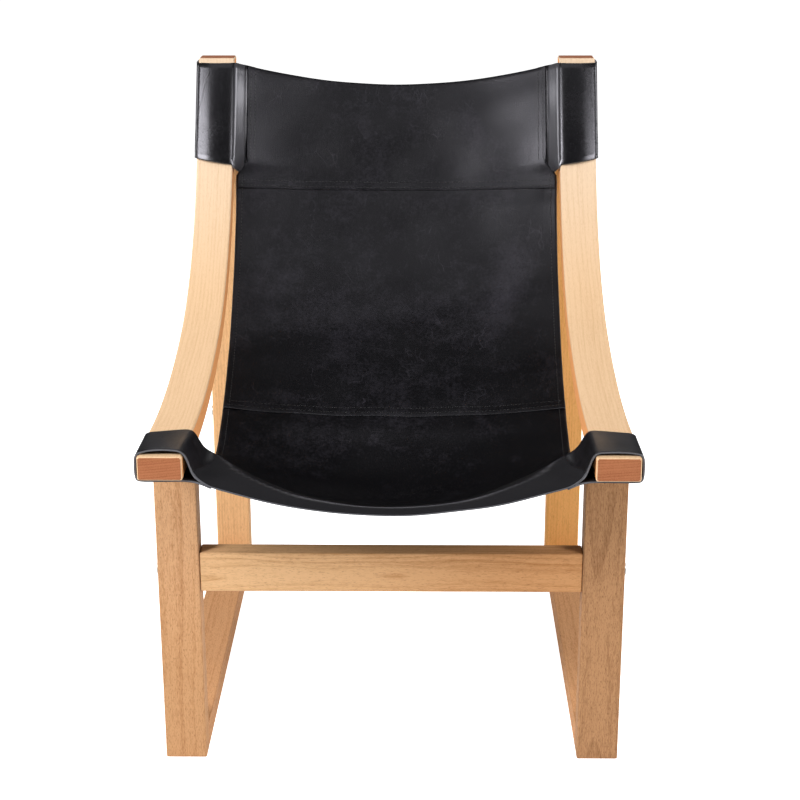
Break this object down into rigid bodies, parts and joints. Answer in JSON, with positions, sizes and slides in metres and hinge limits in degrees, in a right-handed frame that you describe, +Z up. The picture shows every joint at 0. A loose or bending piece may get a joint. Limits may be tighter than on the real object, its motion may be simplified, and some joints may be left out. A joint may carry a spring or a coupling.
{
  "type": "sling lounge chair",
  "caption": "Lounge chair with a black leather sling hung between two bent timber rails on bolted sled side frames.",
  "frame": {"origin": "on the floor, under the middle of the overall floor plan", "axes": "+X to the sitter's left, -Y the way the chair faces, +Z up"},
  "size_m": [0.6092, 0.7832, 0.8408],
  "materials": {
    "board_timber": "clear matt lacquer over pale hardwood boards",
    "bent_timber": "clear matt lacquer over bent laminated hardwood",
    "dowel_timber": "raw turned hardwood",
    "steel": "satin plated steel",
    "leather": "semi-matt dyed saddle leather with painted cut edges"
  },
  "bodies": {
    "root": {"front_crossbar": "board_timber", "rear_crossbar": "board_timber", "left_curved_rail": "bent_timber", "left_front_leg": "board_timber", "left_rear_leg": "board_timber", "left_floor_rail": "board_timber", "left_leg_head_dowel_1": "dowel_timber", "left_floor_front_dowel_1": "dowel_timber", "left_floor_rear_dowel_1": "dowel_timber", "left_top_screw_1": "steel", "left_leg_head_dowel_2": "dowel_timber", "left_floor_front_dowel_2": "dowel_timber", "left_floor_rear_dowel_2": "dowel_timber", "left_top_screw_2": "steel", "left_front_crossbar_bolt": "steel", "left_front_barrel_nut": "steel", "left_front_turn_stop_dowel": "dowel_timber", "left_rear_crossbar_bolt": "steel", "left_rear_barrel_nut": "steel", "left_rear_turn_stop_dowel": "dowel_timber", "left_front_strap": "leather", "left_top_pocket": "leather", "right_curved_rail": "bent_timber", "right_front_leg": "board_timber", "right_rear_leg": "board_timber", "right_floor_rail": "board_timber", "right_leg_head_dowel_1": "dowel_timber", "right_floor_front_dowel_1": "dowel_timber", "right_floor_rear_dowel_1": "dowel_timber", "right_top_screw_1": "steel", "right_leg_head_dowel_2": "dowel_timber", "right_floor_front_dowel_2": "dowel_timber", "right_floor_rear_dowel_2": "dowel_timber", "right_top_screw_2": "steel", "right_front_crossbar_bolt": "steel", "right_front_barrel_nut": "steel", "right_front_turn_stop_dowel": "dowel_timber", "right_rear_crossbar_bolt": "steel", "right_rear_barrel_nut": "steel", "right_rear_turn_stop_dowel": "dowel_timber", "right_front_strap": "leather", "right_top_pocket": "leather", "seat_panel": "leather", "back_panel": "leather", "top_panel": "leather"}
  },
  "joints": []
}
